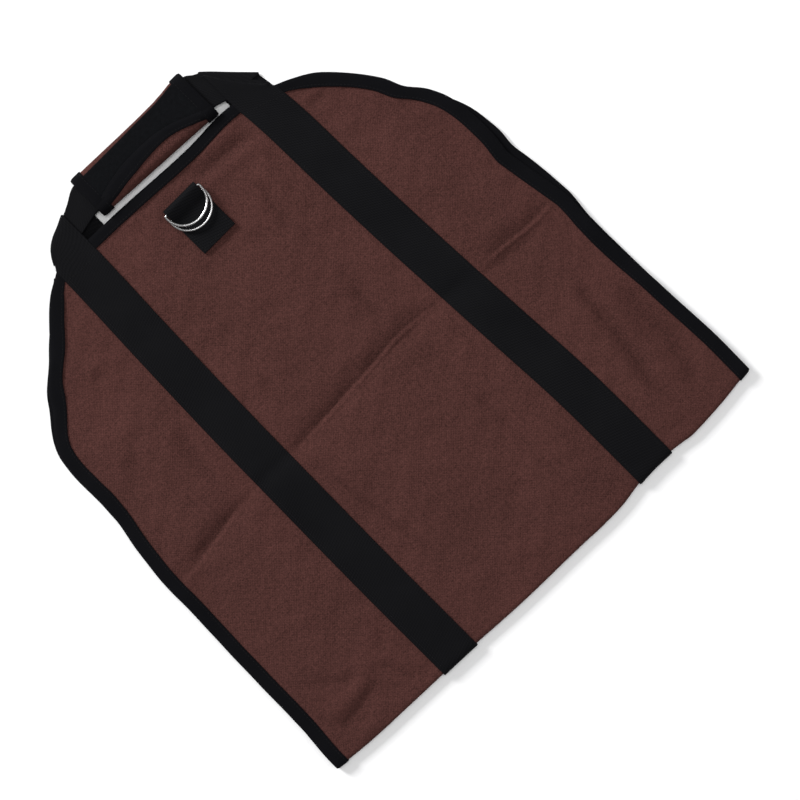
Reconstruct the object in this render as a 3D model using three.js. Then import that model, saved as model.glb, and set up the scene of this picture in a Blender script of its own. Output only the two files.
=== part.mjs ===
// A firewood bag: one canvas sheet with bound edges, folded once and lying flat, with two webbing
// straps that run on into both handles, a closed grip wrap and a tab that holds two D-rings.
// Millimetres. X runs across the bag, Y from the fold towards the handles, Z up from the ground.
import * as THREE from "three";

// Sheet and outline
const foldWidth = 502; // across the bag at the fold, over both bound edges
const foldedLength = 487; // from the fold to the bound top edge
const canvasWall = 1.2;
const clearance = 0.3; // air between pieces that lie on each other

// Tape that binds the edges
const bindingWidth = 12; // shows on each face
const topBindingWidth = 10;
const bindingWall = 1.0;

// Webbing of the straps and handles
const webbingWidth = 39.3;
const webbingWall = 1.5;
const strapSpacing = 238; // from the outer side of one strap to the inner side of the other
const handleReach = 47; // from the top edge to the far side of the grip

// Grip wrap that closes round both handles
const gripLength = 132;
const gripCentre = 7.5; // across, from the middle of the sheet
const gripWidth = 45;
const gripSkew = 0.055; // the near side runs nearer to the bag at the right end
const gripBindingWidth = 11;
const flapBindingWidth = 8;
const loopTapeWall = 1.0;
const layerRise = 2.0; // from the middle of one handle's webbing to the next

// Ring tab and rings
const tabWidth = 37.5;
const tabLength = 51;
const tabCentre = -2.2;
const tabToTopEdge = 26; // from the tab's upper end to the top edge
const wireDiameter = 2.4;
const ringHeight = 25.2;
const ringOffset = 5.7; // the upper ring lies this much nearer to the top edge
const ringTilt = THREE.MathUtils.degToRad(6);

const halfWidth = foldWidth / 2;
const edgeGap = clearance + bindingWall; // a bound edge stands this far outside the canvas
const wrapOffset = canvasWall / 2 + clearance + bindingWall / 2;
const foldRadius = canvasWall / 2 + 1.5 * clearance + bindingWall;
const strapOffset = canvasWall / 2 + clearance + webbingWall / 2;
const layOnGround = Math.max(webbingWall, bindingWall) + clearance;
const backHeight = layOnGround + canvasWall / 2;

// Outline of each panel. along is a share of the folded length, left and right of the half width.
const frontOutline = [
  { along: 0.0, left: -1.02, right: 0.972 },
  { along: 0.09, left: -1.014, right: 0.972 },
  { along: 0.2, left: -1.006, right: 0.962 },
  { along: 0.32, left: -1.0, right: 0.953 },
  { along: 0.45, left: -0.992, right: 0.953 },
  { along: 0.55, left: -0.974, right: 0.934 },
  { along: 0.65, left: -0.952, right: 0.918 },
  { along: 0.73, left: -0.94, right: 0.905 },
  { along: 0.78, left: -0.918, right: 0.876 },
  { along: 0.82, left: -0.864, right: 0.835 },
  { along: 0.865, left: -0.8, right: 0.79 },
  { along: 0.905, left: -0.722, right: 0.742 },
  { along: 0.945, left: -0.642, right: 0.676 },
  { along: 0.975, left: -0.578, right: 0.61 },
  { along: 1.0, left: -0.514, right: 0.524 },
];
const backOutline = [
  { along: 0.0, left: -1.02, right: 0.972 },
  { along: 0.2, left: -1.004, right: 0.96 },
  { along: 0.45, left: -0.99, right: 0.966 },
  { along: 0.55, left: -0.972, right: 0.956 },
  { along: 0.68, left: -0.95, right: 0.944 },
  { along: 0.74, left: -0.944, right: 0.9 },
  { along: 0.79, left: -0.92, right: 0.86 },
  { along: 0.84, left: -0.852, right: 0.812 },
  { along: 0.89, left: -0.764, right: 0.748 },
  { along: 0.94, left: -0.65, right: 0.668 },
  { along: 1.0, left: -0.514, right: 0.522 },
];

// The fold and the top edge aren't straight. across is a share of the half width, and the rest
// are shares of the folded length.
const foldLine = [
  { across: -1.02, sag: 0.018 },
  { across: -0.88, sag: 0.01 },
  { across: -0.7, sag: 0.006 },
  { across: -0.53, sag: 0.003 },
  { across: -0.37, sag: 0.0 },
  { across: -0.18, sag: -0.006 },
  { across: 0.1, sag: -0.009 },
  { across: 0.31, sag: -0.011 },
  { across: 0.43, sag: -0.003 },
  { across: 0.57, sag: -0.003 },
  { across: 0.69, sag: -0.01 },
  { across: 0.85, sag: -0.005 },
  { across: 0.98, sag: 0.003 },
];
const topLine = [
  { across: -0.52, drop: 0.004 },
  { across: -0.34, drop: 0.0 },
  { across: -0.12, drop: 0.004 },
  { across: 0.0, drop: 0.008 },
  { across: 0.12, drop: 0.011 },
  { across: 0.35, drop: 0.011 },
  { across: 0.41, drop: 0.02 },
  { across: 0.47, drop: 0.03 },
  { across: 0.52, drop: 0.04 },
];

// Outer side of the left strap and inner side of the right strap, in half widths from the middle,
// on the front and on the back panel. drift is added to the places at the fold.
const strapDrift = [
  { along: 0.0, frontLeft: 0.0, frontRight: 0.0, backLeft: 0.0, backRight: 0.0 },
  { along: 0.2, frontLeft: 0.0, frontRight: -0.002, backLeft: 0.006, backRight: -0.002 },
  { along: 0.4, frontLeft: 0.004, frontRight: -0.022, backLeft: 0.02, backRight: -0.02 },
  { along: 0.6, frontLeft: 0.01, frontRight: -0.042, backLeft: 0.042, backRight: -0.044 },
  { along: 0.8, frontLeft: 0.022, frontRight: -0.056, backLeft: 0.074, backRight: -0.06 },
  { along: 0.93, frontLeft: 0.032, frontRight: -0.062, backLeft: 0.1, backRight: -0.07 },
  { along: 1.0, frontLeft: 0.036, frontRight: -0.072, backLeft: 0.112, backRight: -0.078 },
];
const leftStrapAtFold = -strapSpacing / 2 - 13.5;
const rightStrapAtFold = strapSpacing / 2 - 13.5;

// Places of the columns that follow the wrinkles. leftWrinkle is a share of the way from the left
// strap to the tab, rightWrinkle of the way from the right strap to the bound edge.
const wrinkleLines = [
  { along: 0.0, leftWrinkle: 0.46, rightWrinkle: 0.27 },
  { along: 0.1, leftWrinkle: 0.46, rightWrinkle: 0.34 },
  { along: 0.22, leftWrinkle: 0.36, rightWrinkle: 0.42 },
  { along: 0.36, leftWrinkle: 0.24, rightWrinkle: 0.52 },
  { along: 0.47, leftWrinkle: 0.12, rightWrinkle: 0.56 },
  { along: 0.62, leftWrinkle: 0.36, rightWrinkle: 0.5 },
  { along: 1.0, leftWrinkle: 0.5, rightWrinkle: 0.5 },
];
const longCrease = 0.232; // half widths

// The crease across the bag where it was folded to half its length
const crossCreaseAlong = 0.478;
const crossCrease = [
  { across: -1.0, shift: -0.026 },
  { across: -0.56, shift: -0.006 },
  { across: -0.35, shift: -0.002 },
  { across: 0.2, shift: 0.01 },
  { across: 0.38, shift: 0.006 },
  { across: 0.56, shift: -0.004 },
  { across: 0.97, shift: -0.016 },
];

// Soft swells and hollows of the front panel: place and size in half widths and folded lengths
const swells = [
  { across: -0.76, along: 0.27, wide: 0.2, long: 0.12, height: 1.6 },
  { across: -0.8, along: 0.62, wide: 0.16, long: 0.12, height: 1.3 },
  { across: -0.12, along: 0.3, wide: 0.2, long: 0.13, height: 1.7 },
  { across: 0.34, along: 0.2, wide: 0.16, long: 0.12, height: 1.4 },
  { across: -0.1, along: 0.62, wide: 0.24, long: 0.1, height: 1.5 },
  { across: 0.3, along: 0.72, wide: 0.14, long: 0.14, height: 1.2 },
  { across: 0.78, along: 0.34, wide: 0.14, long: 0.1, height: 1.5 },
  { across: 0.74, along: 0.62, wide: 0.16, long: 0.12, height: 1.4 },
  { across: 0.62, along: 0.12, wide: 0.12, long: 0.08, height: 1.0 },
  { across: -0.84, along: 0.09, wide: 0.14, long: 0.05, height: 1.2 },
  { across: -0.66, along: 0.82, wide: 0.12, long: 0.06, height: 0.7 },
];

// Stations along the sheet, as shares of the folded length
const frontStations = [
  0, 0.02, 0.05, 0.09, 0.14, 0.19, 0.25, 0.31, 0.37, 0.42, 0.452, 0.466, 0.478, 0.494, 0.52,
  0.57, 0.63, 0.69, 0.75, 0.79, 0.83, 0.87, 0.91, 0.945, 0.975, 1,
];
const backStations = [0, 0.05, 0.14, 0.25, 0.37, 0.478, 0.6, 0.71, 0.79, 0.85, 0.91, 0.96, 1];
const foldSteps = 5;

// Smooth curve through one column of a table
function curveOf(table, key, column) {
  const places = table.map((row) => row[key]);
  const values = table.map((row) => row[column]);
  const fit = new THREE.CubicInterpolant(places, values, 1);
  return (at) => fit.evaluate(THREE.MathUtils.clamp(at, places[0], places.at(-1)))[0];
}

const smooth = THREE.MathUtils.smoothstep;
const mix = THREE.MathUtils.lerp;

const faces = {
  front: {
    left: curveOf(frontOutline, "along", "left"),
    right: curveOf(frontOutline, "along", "right"),
    leftDrift: curveOf(strapDrift, "along", "frontLeft"),
    rightDrift: curveOf(strapDrift, "along", "frontRight"),
  },
  back: {
    left: curveOf(backOutline, "along", "left"),
    right: curveOf(backOutline, "along", "right"),
    leftDrift: curveOf(strapDrift, "along", "backLeft"),
    rightDrift: curveOf(strapDrift, "along", "backRight"),
  },
};
const foldSag = curveOf(foldLine, "across", "sag");
const topDrop = curveOf(topLine, "across", "drop");
const leftWrinkle = curveOf(wrinkleLines, "along", "leftWrinkle");
const rightWrinkle = curveOf(wrinkleLines, "along", "rightWrinkle");
const creaseShift = curveOf(crossCrease, "across", "shift");

// Lines down the sheet that the columns follow, from the left bound edge to the right one
function guideLines(face, along) {
  const left = halfWidth * face.left(along) + edgeGap;
  const right = halfWidth * face.right(along) - edgeGap;
  const leftStrap = leftStrapAtFold + halfWidth * face.leftDrift(along);
  const rightStrap = rightStrapAtFold + halfWidth * face.rightDrift(along);
  const tabLeft = tabCentre - tabWidth / 2 - 1;
  const tabRight = tabCentre + tabWidth / 2 + 1;
  const strapInner = leftStrap + webbingWidth;
  const strapOuter = rightStrap + webbingWidth;
  return {
    left,
    leftStrap,
    strapInner,
    leftWrinkle: mix(strapInner, tabLeft, leftWrinkle(along)),
    tabLeft,
    tabRight,
    longCrease: halfWidth * longCrease,
    rightStrap,
    strapOuter,
    rightWrinkle: mix(strapOuter, right, rightWrinkle(along)),
    right,
  };
}

// Cells between each guide line and the next
const cellsAfter = {
  left: 5,
  leftStrap: 2,
  strapInner: 1,
  leftWrinkle: 2,
  tabLeft: 2,
  tabRight: 2,
  longCrease: 2,
  rightStrap: 2,
  strapOuter: 2,
  rightWrinkle: 2,
};
const guideNames = [...Object.keys(cellsAfter), "right"];
const columns = guideNames.slice(0, -1).flatMap((name, i) =>
  Array.from({ length: cellsAfter[name] }, (_, k) => ({
    from: name,
    to: guideNames[i + 1],
    share: k / cellsAfter[name],
  })),
);
columns.push({ from: "right", to: "right", share: 0 });
const columnAt = (name) => columns.findIndex((column) => column.from === name);

// Height of the front panel's folds and swells over its flat state
function relief(across, along, acrossFromEdge) {
  const x = across / halfWidth;
  const fade =
    smooth(acrossFromEdge, bindingWidth, 4 * bindingWidth) *
    smooth(along, 0.01, 0.06) *
    smooth(1 - along, 0.05, 0.16);
  const tabPlateau =
    (1 - smooth(Math.abs(across - tabCentre), 0.6 * tabWidth, 1.4 * tabWidth)) *
    smooth(along, 0.74, 0.8);
  let height = 0.7;
  for (const swell of swells) {
    const a = (x - swell.across) / swell.wide;
    const b = (along - swell.along) / swell.long;
    height += swell.height * Math.exp(-a * a - b * b);
  }
  const fromCrease = (along - crossCreaseAlong) / 0.016;
  height -= 1.9 * Math.exp(-fromCrease * fromCrease);
  height += 0.8 * Math.exp(-((fromCrease - 1.9) ** 2) / 2);
  const fromLong = (x - longCrease) / 0.05;
  height -= 1.0 * Math.exp(-fromLong * fromLong) * smooth(0.55 - along, 0, 0.1);
  return height * fade * (1 - tabPlateau);
}

// Point of the canvas' middle surface on one face
function panelPoint(column, face, along) {
  const isFront = face === faces.front;
  const guide = guideLines(face, along);
  const atFold = guideLines(face, 0);
  const atTop = guideLines(face, 1);
  const place = (lines) => mix(lines[column.from], lines[column.to], column.share);
  const across = place(guide);
  const foldAt = foldedLength * foldSag(place(atFold) / halfWidth) + canvasWall / 2;
  const topAt = foldedLength * (1 - topDrop(place(atTop) / halfWidth)) - edgeGap;
  const nearCrease = smooth(0.14 - Math.abs(along - crossCreaseAlong), 0, 0.14);
  const shift = foldedLength * creaseShift(across / halfWidth) * nearCrease;
  const start = foldAt + foldRadius;
  const underStrap = column.from === "leftStrap" || column.from === "rightStrap";
  const besideStrap = column.from === "strapInner" || column.from === "strapOuter";
  const inStrap = underStrap || (besideStrap && column.share === 0);
  const fromEdge = Math.min(across - guide.left, guide.right - across);
  const raised = relief(across, along, fromEdge);
  const height = isFront
    ? raised * (inStrap ? 0.4 : 1)
    : 0.8 * Math.max(raised, 0) * (inStrap ? 0 : 1);
  return new THREE.Vector3(
    across,
    mix(start, topAt, along) + shift,
    backHeight + height + (isFront ? 2 * foldRadius : 0),
  );
}

// Rows of the canvas' middle surface, from the back panel's top edge round the fold to the front's
function canvasRows() {
  const rows = [];
  for (const along of [...backStations].reverse())
    rows.push(columns.map((column) => panelPoint(column, faces.back, along)));
  const turn = rows.at(-1);
  for (let step = 1; step < foldSteps; step += 1) {
    const angle = (Math.PI * step) / foldSteps;
    rows.push(
      turn.map(
        (point) =>
          new THREE.Vector3(
            point.x,
            point.y - foldRadius * Math.sin(angle),
            point.z + foldRadius * (1 - Math.cos(angle)),
          ),
      ),
    );
  }
  for (const along of frontStations)
    rows.push(columns.map((column) => panelPoint(column, faces.front, along)));
  return rows;
}

// Unit direction at a point of a polyline, and how far a mitred offset grows there
function bend(before, here, after) {
  const a = before ? here.clone().sub(before).normalize() : null;
  const b = after ? after.clone().sub(here).normalize() : null;
  const direction = (a ?? b).clone().add(b ?? a).normalize();
  const grow = a && b ? 1 / Math.sqrt(Math.max(0.5, (1 + a.dot(b)) / 2)) : 1;
  return { direction, grow };
}

// Offset vectors of a middle surface given as rows of points, one unit of wall long
function offsetsOf(rows) {
  return rows.map((row, i) =>
    row.map((point, j) => {
      const down = bend(rows[i - 1]?.[j], point, rows[i + 1]?.[j]);
      const over = bend(row[j - 1], point, row[j + 1]);
      return over.direction
        .clone()
        .cross(down.direction)
        .normalize()
        .multiplyScalar(down.grow * over.grow);
    }),
  );
}

// Surface at a distance from another one, along its offset vectors
function offsetRows(rows, offsets, distance) {
  return rows.map((row, i) =>
    row.map((point, j) => point.clone().addScaledVector(offsets[i][j], distance)),
  );
}

// Closed body from a list of points and triangles, turned so that its faces point out
function closedBody(points, triangles) {
  let volume = 0;
  for (const [a, b, c] of triangles)
    volume += points[a].dot(points[b].clone().cross(points[c]));
  const faces = volume < 0 ? triangles.map(([a, b, c]) => [a, c, b]) : triangles;
  const geometry = new THREE.BufferGeometry().setFromPoints(points);
  geometry.setIndex(faces.flat());
  geometry.computeVertexNormals();
  return geometry;
}

// Wall of even thickness on both sides of a middle surface
function wall(rows, thickness, offsets = offsetsOf(rows)) {
  const across = rows[0].length;
  const upper = offsetRows(rows, offsets, thickness / 2).flat();
  const lower = offsetRows(rows, offsets, -thickness / 2).flat();
  const under = upper.length;
  const triangles = [];
  const quad = (a, b, c, d) => triangles.push([a, b, c], [a, c, d]);
  const at = (i, j) => i * across + j;
  for (let i = 0; i < rows.length - 1; i += 1)
    for (let j = 0; j < across - 1; j += 1) {
      quad(at(i, j), at(i, j + 1), at(i + 1, j + 1), at(i + 1, j));
      quad(
        under + at(i, j),
        under + at(i + 1, j),
        under + at(i + 1, j + 1),
        under + at(i, j + 1),
      );
    }
  const rim = [];
  for (let j = 0; j < across - 1; j += 1) rim.push(at(0, j));
  for (let i = 0; i < rows.length - 1; i += 1) rim.push(at(i, across - 1));
  for (let j = across - 1; j > 0; j -= 1) rim.push(at(rows.length - 1, j));
  for (let i = rows.length - 1; i > 0; i -= 1) rim.push(at(i, 0));
  rim.forEach((here, k) => {
    const next = rim[(k + 1) % rim.length];
    quad(here, under + here, under + next, next);
  });
  return closedBody([...upper, ...lower], triangles);
}

// Tape folded over an edge: for each section the edge point, the direction into the sheet, the
// sheet's normal and the width that shows
function foldedTape(sections, wallThickness) {
  const rows = [];
  const offsets = [];
  const round = Math.PI / 6;
  for (const { edge, inward, normal, width } of sections) {
    const at = (into, off) =>
      edge.clone().addScaledVector(inward, into).addScaledVector(normal, off);
    const turned = (angle, size) =>
      inward
        .clone()
        .multiplyScalar(-Math.cos(angle) * size)
        .addScaledVector(normal, Math.sin(angle) * size);
    const mitre = 1 / Math.cos(round);
    rows.push([
      at(width, -wrapOffset),
      at(0, -wrapOffset),
      edge.clone().add(turned(-round, wrapOffset * mitre)),
      edge.clone().add(turned(round, wrapOffset * mitre)),
      at(0, wrapOffset),
      at(width, wrapOffset),
    ]);
    offsets.push([
      normal.clone().negate(),
      normal.clone().negate(),
      turned(-round, mitre),
      turned(round, mitre),
      normal.clone(),
      normal.clone(),
    ]);
  }
  return wall(rows, wallThickness, offsets);
}

const sheetRows = canvasRows();
const sheetOffsets = offsetsOf(sheetRows);
const upward = sheetOffsets.at(-1)[0].z > 0 ? 1 : -1;

function canvas() {
  return wall(sheetRows, canvasWall, sheetOffsets);
}

// Binding of a side edge, from the back panel's top corner round the fold to the front's
function sideBinding(side) {
  const edgeColumn = side === "left" ? 0 : columns.length - 1;
  const strapColumn = columnAt(side === "left" ? "leftStrap" : "strapOuter");
  const inwardSign = side === "left" ? 1 : -1;
  const middleRow = backStations.length - 1 + foldSteps / 2;
  const sections = [];
  sheetRows.forEach((row, i) => {
    const edge = row[edgeColumn];
    const before = sheetRows[Math.max(i - 1, 0)][edgeColumn];
    const after = sheetRows[Math.min(i + 1, sheetRows.length - 1)][edgeColumn];
    const along = after.clone().sub(before).normalize();
    const normal = sheetOffsets[i][edgeColumn].clone().normalize().multiplyScalar(upward);
    const besideFold = Math.abs(i - middleRow) <= foldSteps / 2 + 1;
    const inward = besideFold
      ? row[edgeColumn + inwardSign].clone().sub(edge).normalize()
      : along.clone().cross(normal).normalize();
    if (inward.x * inwardSign < 0) inward.negate();
    const room = Math.abs(row[strapColumn].x - edge.x) - 2 * clearance;
    const width = Math.min(bindingWidth - wrapOffset, room / Math.abs(inward.x));
    if (width > 2 * bindingWall) sections.push({ edge, inward, normal, width });
  });
  return foldedTape(sections, bindingWall);
}

// Binding of a top edge, between the two straps
function topBinding(rowIndex, nextIndex) {
  const sections = [];
  const first = columnAt("strapInner");
  const last = columnAt("rightStrap");
  for (let j = first; j <= last; j += 1) {
    const edge = sheetRows[rowIndex][j].clone();
    if (j === first) edge.x += clearance + bindingWall / 2;
    if (j === last) edge.x -= clearance + bindingWall / 2;
    const normal = sheetOffsets[rowIndex][j].clone().normalize().multiplyScalar(upward);
    const inward = sheetRows[nextIndex][j].clone().sub(sheetRows[rowIndex][j]).normalize();
    sections.push({ edge, inward, normal, width: topBindingWidth - wrapOffset });
  }
  return foldedTape(sections, bindingWall);
}

// Heights of the handle layers where they pass through the grip, and their place between its sides
const nearInset = 6.6;
const farInset = 4.2;
const gripBottom = bindingWall + clearance + canvasWall / 2;
const lowLayer = gripBottom + canvasWall / 2 + bindingWall + 2 * clearance + webbingWall / 2;
const highLayer = lowLayer + layerRise;
const gripTop = highLayer + webbingWall / 2 + bindingWall + 2 * clearance + canvasWall / 2;
const flapHeight =
  gripTop + canvasWall + 3 * clearance + Math.max(bindingWall, loopTapeWall) + bindingWall;
const gripFar = foldedLength + handleReach;
const gripNear = (across) => gripFar - gripWidth - gripSkew * (across - gripCentre);

// Corners of the handles: the two ends of the diagonal fold, as steps from the strap's place at
// the top edge. outer is the side away from the grip, inner the side next to it.
const handleFolds = {
  frontLeft: { outerIn: 3, outerUp: 4, innerIn: 0, innerUp: 31 },
  frontRight: { outerIn: 6, outerUp: 9, innerIn: 0, innerUp: 37 },
  backLeft: { outerIn: 1, outerUp: 10, innerIn: 0, innerUp: 42 },
  backRight: { outerIn: 2, outerUp: 14, innerIn: 0, innerUp: 42 },
};

// One handle half: from the strap's last rung on the panel over the diagonal fold into the grip
function handleRungs(lastRung, side, fold, layer) {
  const sign = side === "left" ? 1 : -1;
  const ordered = side === "left" ? lastRung : [...lastRung].reverse();
  const outer = ordered[0];
  const inner = ordered.at(-1);
  const height = inner.z;
  const turnsDown = layer > 0 && height > highLayer - layerRise / 2;
  const drop = turnsDown ? -layerRise : layerRise;
  const outerFold = new THREE.Vector3(
    outer.x + sign * fold.outerIn, outer.y + fold.outerUp, height);
  const innerFold = new THREE.Vector3(
    inner.x + sign * fold.innerIn, inner.y + fold.innerUp, height);
  const rungs = [];
  const rung = (a, b) => rungs.push([a, a.clone().lerp(b, 0.5), b]);
  rung(outer.clone().lerp(outerFold, 0.5), inner.clone().lerp(innerFold, 0.5));
  const foldDirection = innerFold.clone().sub(outerFold).normalize();
  const away = new THREE.Vector3(-foldDirection.y, foldDirection.x, 0).multiplyScalar(sign);
  const turnSteps = 4;
  for (let step = 0; step <= turnSteps; step += 1) {
    const angle = (Math.PI * step) / turnSteps;
    const shift = away
      .clone()
      .multiplyScalar((layerRise / 2) * Math.sin(angle))
      .add(new THREE.Vector3(0, 0, (drop / 2) * (1 - Math.cos(angle))));
    rung(outerFold.clone().add(shift), innerFold.clone().add(shift));
  }
  const gripEnd = gripCentre - sign * (gripLength / 2);
  const middle = gripCentre - sign * (clearance / 2);
  const reach = (across, z) =>
    rung(
      new THREE.Vector3(across, gripNear(across) + nearInset, z),
      new THREE.Vector3(across, gripFar - farInset, z),
    );
  const low = new THREE.Vector3(0, 0, drop);
  const outerCross = outerFold.clone().add(low);
  const innerCross = innerFold.clone().add(low);
  const entryOuter = new THREE.Vector3(gripEnd, gripNear(gripEnd) + nearInset, layer);
  const entryInner = new THREE.Vector3(gripEnd, gripFar - farInset, layer);
  rung(outerCross.clone().lerp(entryOuter, 0.5), innerCross.clone().lerp(entryInner, 0.35));
  reach(gripEnd, layer);
  reach(mix(gripEnd, middle, 0.5), layer);
  reach(middle, layer);
  return side === "left" ? rungs : rungs.map((points) => [...points].reverse());
}

// One strap: the whole webbing of one side, from the front handle round the bag to the back handle
function strap(side) {
  const first = columnAt(side === "left" ? "leftStrap" : "rightStrap");
  const bed = sheetRows.map((row) => row.slice(first, first + 3));
  const panel = offsetRows(bed, offsetsOf(bed), strapOffset * upward);
  const name = side === "left" ? "Left" : "Right";
  const front = handleRungs(panel.at(-1), side, handleFolds["front" + name], highLayer);
  const back = handleRungs(panel[0], side, handleFolds["back" + name], lowLayer);
  return wall([...back.reverse(), ...panel, ...front], webbingWall);
}

// Section of the grip wrap at a place across: from the covered flap over the far side, under the
// handles, up the near side and out to the free edge of the covering flap
const flapEdge = [
  { across: -0.5, reach: 0.2 },
  { across: -0.42, reach: 0.26 },
  { across: -0.34, reach: 0.34 },
  { across: -0.2, reach: 0.43 },
  { across: -0.06, reach: 0.47 },
  { across: 0.1, reach: 0.47 },
  { across: 0.24, reach: 0.4 },
  { across: 0.34, reach: 0.3 },
  { across: 0.42, reach: 0.22 },
  { across: 0.5, reach: 0.2 },
];
const flapReach = curveOf(flapEdge, "across", "reach");
const nearRadius = (flapHeight - gripBottom) / 2;
const farRadius = (gripTop - gripBottom) / 2;

function gripSection(across) {
  const near = gripNear(across) + canvasWall / 2;
  const far = gripFar - canvasWall / 2;
  const points = [];
  const add = (y, z) => points.push(new THREE.Vector3(across, y, z));
  const coveredStart = near + nearRadius + 1;
  for (const share of [0, 0.5, 1]) add(mix(coveredStart, far - farRadius, share), gripTop);
  for (const turn of [30, 60, 90, 120, 150]) {
    const angle = THREE.MathUtils.degToRad(turn);
    add(
      far - farRadius + farRadius * Math.sin(angle),
      gripBottom + farRadius * (1 + Math.cos(angle)),
    );
  }
  for (const share of [0, 0.5, 1])
    add(mix(far - farRadius, near + nearRadius, share), gripBottom);
  for (const turn of [30, 60, 90, 120, 150]) {
    const angle = THREE.MathUtils.degToRad(turn);
    add(
      near + nearRadius - nearRadius * Math.sin(angle),
      gripBottom + nearRadius * (1 - Math.cos(angle)),
    );
  }
  const share = (across - gripCentre) / gripLength;
  const edge = Math.max(
    near + flapReach(share) * gripWidth - edgeGap,
    near + nearRadius + canvasWall,
  );
  for (const along of [0, 0.5, 1]) add(mix(near + nearRadius, edge, along), flapHeight);
  return points;
}

const gripStations = [-0.5, -0.42, -0.34, -0.2, -0.06, 0.1, 0.24, 0.34, 0.42, 0.5];
const gripRows = gripStations.map((share) =>
  gripSection(gripCentre + share * (gripLength - 2 * edgeGap)),
);
const gripOffsets = offsetsOf(gripRows);
const outward = gripOffsets[0][1].z > 0 ? 1 : -1;

function gripWrap() {
  return wall(gripRows, canvasWall, gripOffsets);
}

function gripEndBinding(side) {
  const row = side === "left" ? 0 : gripRows.length - 1;
  const nextRow = side === "left" ? 1 : row - 1;
  const sections = gripRows[row].map((edge, j) => ({
    edge,
    inward: gripRows[nextRow][j].clone().sub(edge).normalize(),
    normal: gripOffsets[row][j].clone().multiplyScalar(outward),
    width: gripBindingWidth - wrapOffset,
  }));
  return foldedTape(sections, bindingWall);
}

function flapBinding() {
  const sections = [];
  gripRows.forEach((row, i) => {
    const edge = row.at(-1);
    const root = row.at(-3);
    const room = edge.distanceTo(root);
    if (room < 3 * bindingWall || i === 0 || i === gripRows.length - 1) return;
    sections.push({
      edge,
      inward: root.clone().sub(edge).normalize(),
      normal: new THREE.Vector3(0, 0, 1),
      width: Math.min(flapBindingWidth - wrapOffset, room),
    });
  });
  return foldedTape(sections, bindingWall);
}

function loopTape() {
  const rows = [];
  const start = gripCentre - gripLength / 2 + gripBindingWidth + 2 * clearance;
  const end = gripCentre + gripLength / 2 - gripBindingWidth - 2 * clearance;
  const height = gripTop + canvasWall / 2 + clearance + loopTapeWall / 2;
  for (const share of [0, 0.25, 0.5, 0.75, 1]) {
    const across = mix(start, end, share);
    const near = gripNear(across) + canvasWall / 2 + nearRadius + 3;
    const far = gripFar - canvasWall / 2 - farRadius - 0.5;
    rows.push([0, 0.5, 1].map((s) => new THREE.Vector3(across, mix(near, far, s), height)));
  }
  return wall(rows, loopTapeWall);
}

// Ring tab: webbing sewn to the front panel, folded over the bars of both rings
const panelTop = backHeight + 2 * foldRadius + canvasWall / 2;
const tabTop = foldedLength - tabToTopEdge - 3;
const wireRadius = wireDiameter / 2;
const ringStack = wireDiameter + clearance;
const tabLow = panelTop + clearance + webbingWall / 2;
const tabHigh = tabLow + webbingWall + clearance;
const tabLift = 1.0; // how far the fold's lower layer lifts off the panel
const lowBarHeight = tabLow + tabLift + webbingWall / 2 + clearance + wireRadius;
const highBarHeight = lowBarHeight + ringStack;
const loopTop = highBarHeight + wireRadius + clearance + webbingWall / 2;
const loopRadius = (loopTop - tabLow - tabLift) / 2;
const highBarAt = tabTop - webbingWall / 2 - loopRadius;
const lowBarAt = highBarAt - ringOffset;

function ringTab() {
  const profile = [];
  const bottom = tabTop - tabLength;
  const add = (y, z) => profile.push([y, z]);
  add(bottom, tabLow);
  add(bottom + 0.4 * tabLength, tabLow);
  add(lowBarAt - 6, tabLow);
  add(lowBarAt, tabLow + tabLift);
  for (let step = 0; step <= 6; step += 1) {
    const angle = (Math.PI * step) / 6;
    add(highBarAt + loopRadius * Math.sin(angle), loopTop - loopRadius * (1 + Math.cos(angle)));
  }
  add(lowBarAt, lowBarHeight + wireRadius + 2 * clearance + webbingWall / 2);
  add(lowBarAt - 7, tabHigh);
  add(bottom + 0.4 * tabLength, tabHigh);
  add(bottom, tabHigh);
  const rows = profile.map(([y, z]) =>
    [-0.5, 0, 0.5].map((share) => new THREE.Vector3(tabCentre + share * tabWidth, y, z)),
  );
  return wall(rows, webbingWall);
}

// D-ring round its own bar: a straight bar, two short sides and a half ellipse
function ringCentreLine() {
  const half = tabWidth / 2 + 1.5 * clearance + wireRadius;
  const depth = ringHeight - wireDiameter;
  const corner = 0.45 * wireDiameter;
  const side = 0.17 * depth;
  const points = [];
  const add = (x, y) => points.push(new THREE.Vector2(x, y));
  for (const share of [-1, -0.5, 0, 0.5, 1]) add(share * (half - corner), 0);
  add(half, -corner);
  add(half, -side);
  const arcSteps = 14;
  for (let step = 1; step < arcSteps; step += 1) {
    const angle = (Math.PI * step) / arcSteps;
    add(half * Math.cos(angle), -side - (depth - side) * Math.sin(angle));
  }
  add(-half, -side);
  add(-half, -corner);
  return points;
}

function ring() {
  const line = ringCentreLine();
  const around = 6;
  const points = [];
  const triangles = [];
  line.forEach((here, i) => {
    const before = line[(i + line.length - 1) % line.length];
    const after = line[(i + 1) % line.length];
    const a = here.clone().sub(before).normalize();
    const b = after.clone().sub(here).normalize();
    const direction = a.clone().add(b).normalize();
    const grow = 1 / Math.sqrt((1 + a.dot(b)) / 2);
    for (let k = 0; k < around; k += 1) {
      const angle = (2 * Math.PI * (k + 0.5)) / around;
      const sideways = wireRadius * grow * Math.cos(angle);
      points.push(
        new THREE.Vector3(
          here.x + direction.y * sideways,
          here.y - direction.x * sideways,
          wireRadius * Math.sin(angle),
        ),
      );
      const next = (k + 1) % around;
      const following = ((i + 1) % line.length) * around;
      triangles.push([i * around + k, following + k, following + next]);
      triangles.push([i * around + k, following + next, i * around + next]);
    }
  });
  return closedBody(points, triangles);
}

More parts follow.
